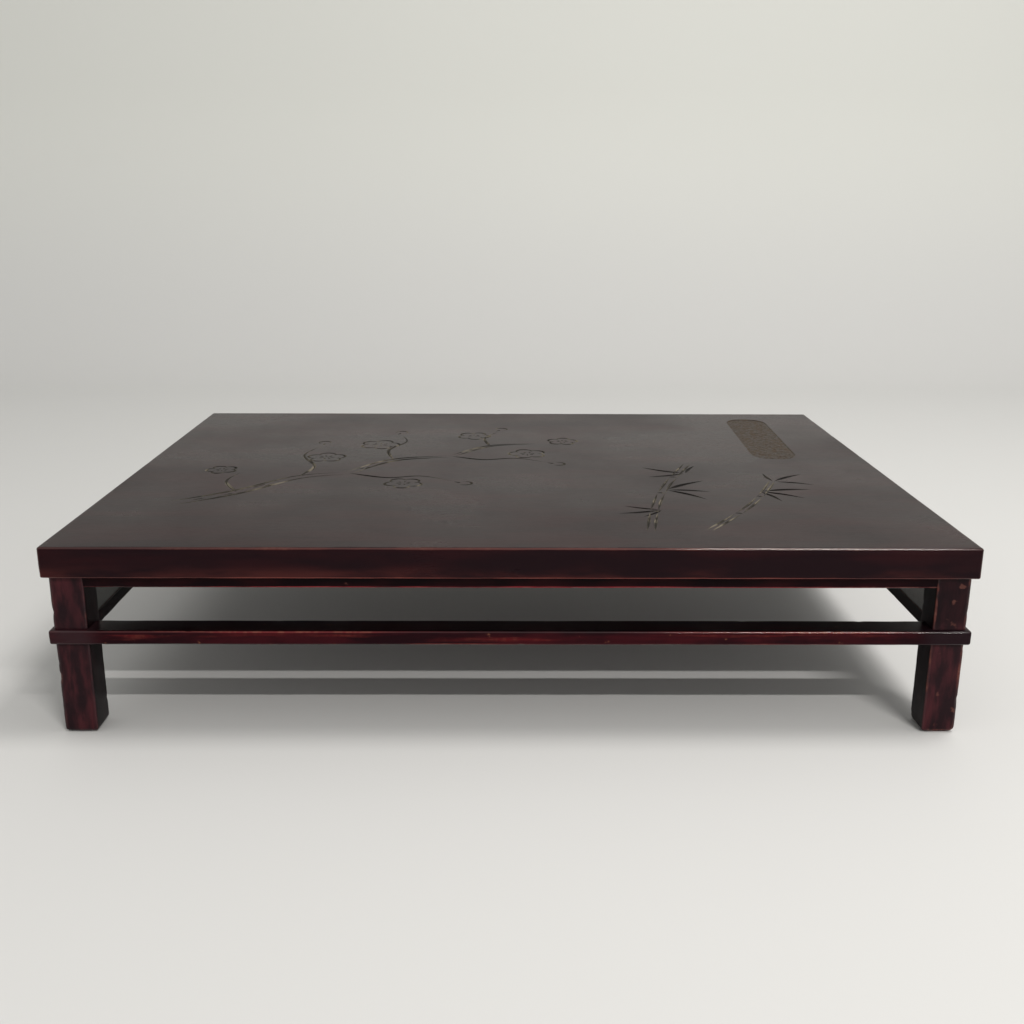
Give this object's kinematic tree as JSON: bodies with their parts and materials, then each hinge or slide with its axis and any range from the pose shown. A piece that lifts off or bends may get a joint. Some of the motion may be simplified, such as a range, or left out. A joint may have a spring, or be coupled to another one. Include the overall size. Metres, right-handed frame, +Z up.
{
  "type": "low table",
  "caption": "Low rectangular table: a thick lacquered board on square legs, with slim aprons under it and stretchers that wrap round the outside of the legs.",
  "frame": {"origin": "on the floor, under the middle of the board", "axes": "+X along the length, to the right seen from the front; +Y from the front to the back; +Z up"},
  "size_m": [0.48, 0.36, 0.104],
  "materials": {
    "board": "dark red-brown lacquer, satin gloss, fine brushed rubbing and thin worn arrises",
    "leg": "dark red-brown lacquer, rubbed through to reddish wood in patches",
    "apron": "dark red-brown lacquer, thin reddish wear on the lower arris",
    "stretcher": "dark red lacquer, worn light along the upper arris",
    "batten": "oiled hardwood, left unlacquered under the board",
    "loose_tenon": "bare planed hardwood"
  },
  "bodies": {
    "root": {"top_board": "board", "leg_front_left": "leg", "leg_front_right": "leg", "leg_back_right": "leg", "leg_back_left": "leg", "apron_front": "apron", "apron_right": "apron", "apron_back": "apron", "apron_left": "apron", "stretcher_front": "stretcher", "stretcher_right": "stretcher", "stretcher_back": "stretcher", "stretcher_left": "stretcher", "batten_left": "batten", "batten_right": "batten", "loose_tenon_front_left": "loose_tenon", "loose_tenon_front_right": "loose_tenon", "loose_tenon_right": "loose_tenon", "loose_tenon_back_right": "loose_tenon", "loose_tenon_back_left": "loose_tenon", "loose_tenon_left": "loose_tenon"}
  },
  "joints": []
}
